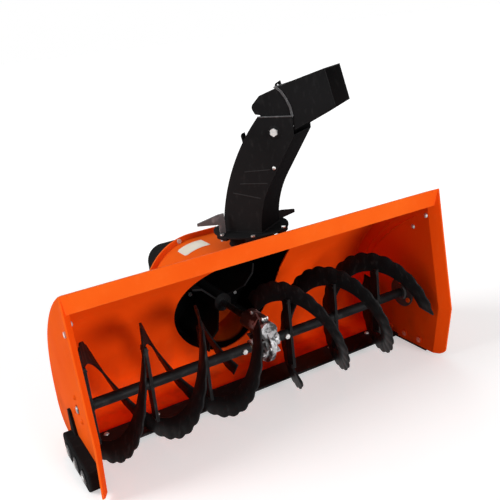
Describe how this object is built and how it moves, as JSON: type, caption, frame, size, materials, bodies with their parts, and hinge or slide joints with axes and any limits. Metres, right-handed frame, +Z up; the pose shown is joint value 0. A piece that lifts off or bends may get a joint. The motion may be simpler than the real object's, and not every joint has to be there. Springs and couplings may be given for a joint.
{
  "type": "snow blower",
  "caption": "Snow blower attachment: a ribbon auger in an open housing feeds a geared impeller, which throws snow through a turning chute with a hinged deflector.",
  "frame": {"origin": "on the ground under the middle of the bounding box", "axes": "+X across the housing, -Y the open front that meets the snow, +Z up"},
  "size_m": [1.1046, 0.7, 0.874],
  "materials": {
    "orange_paint": "satin orange paint",
    "black_paint": "satin black paint",
    "auger_paint": "worn satin black paint",
    "bare_steel": "turned",
    "zinc_plate": "zinc plated",
    "grey_plate": "grey coating",
    "cast_aluminium": "as cast",
    "cast_iron": "machined casting",
    "bronze_bush": "sintered"
  },
  "bodies": {
    "housing": {"housing_sheet": "orange_paint", "left_side_panel": "orange_paint", "right_side_panel": "orange_paint", "scraper_blade": "auger_paint", "scraper_bolts": "zinc_plate", "panel_bolts": "zinc_plate", "left_auger_bearing": "cast_iron", "right_auger_bearing": "cast_iron", "auger_bearing_bolts": "zinc_plate", "skid_bolts": "zinc_plate", "impeller_drum": "orange_paint", "drum_back_plate": "orange_paint", "drum_bolts": "zinc_plate", "impeller_bearing": "cast_iron", "impeller_bearing_bolts": "zinc_plate", "belt_guard": "black_paint", "belt_guard_bolts": "zinc_plate", "chute_neck": "black_paint", "left_hitch_plate": "black_paint", "right_hitch_plate": "black_paint", "hitch_tube": "black_paint", "gearbox_left_half": "cast_aluminium", "gearbox_right_half": "cast_aluminium", "gearbox_bolts": "zinc_plate", "gearbox_bushes": "bronze_bush"},
    "auger": {"cross_shaft": "bare_steel", "left_auger_tube": "auger_paint", "right_auger_tube": "auger_paint", "left_auger_ribbon_1": "auger_paint", "left_auger_ribbon_2": "auger_paint", "right_auger_ribbon_1": "auger_paint", "right_auger_ribbon_2": "auger_paint", "left_auger_spokes": "auger_paint", "right_auger_spokes": "auger_paint", "shear_bolts": "zinc_plate", "worm_wheel": "bare_steel"},
    "impeller": {"impeller_shaft": "bare_steel", "worm": "bare_steel", "impeller_hub": "black_paint", "impeller_blades": "black_paint", "driven_pulley": "cast_iron", "pulley_bolt": "zinc_plate"},
    "chute": {"chute_flange": "black_paint", "chute_keepers": "black_paint", "chute_bolts": "zinc_plate", "chute_shell": "black_paint", "chute_turn_arm": "grey_plate", "chute_turn_lug": "black_paint", "deflector_cable_stop": "black_paint", "deflector_pivot_bolts": "zinc_plate"},
    "deflector": {"deflector_hood": "black_paint", "deflector_cable_tab": "black_paint"},
    "left_skid": {"left_skid_shoe": "black_paint"},
    "right_skid": {"right_skid_shoe": "black_paint"}
  },
  "joints": [
    {"name": "auger_spin", "type": "hinge", "parent": "housing", "child": "auger", "pos_m": [0, -0.168, 0.17], "axis": [1, 0, 0], "continuous": true},
    {"name": "impeller_spin", "type": "hinge", "parent": "housing", "child": "impeller", "pos_m": [0.01, 0, 0.215], "axis": [0, 1, 0], "continuous": true},
    {"name": "chute_rotation", "type": "hinge", "parent": "housing", "child": "chute", "pos_m": [0.132, 0.058, 0.422], "axis": [0, 0, 1], "range_deg": [-133, 67]},
    {"name": "deflector_tilt", "type": "hinge", "parent": "chute", "child": "deflector", "pos_m": [0.20553, -0.05522, 0.716], "axis": [0.8387, 0.5446, 0], "range_deg": [0, 50]},
    {"name": "left_skid_height", "type": "slide", "parent": "housing", "child": "left_skid", "axis": [0, 0, 1], "range_m": [-0.02, 0]},
    {"name": "right_skid_height", "type": "slide", "parent": "housing", "child": "right_skid", "axis": [0, 0, 1], "range_m": [-0.02, 0]}
  ],
  "couplings": [
    {"joint": "impeller_spin", "follows": "auger_spin", "ratio": -10}
  ]
}
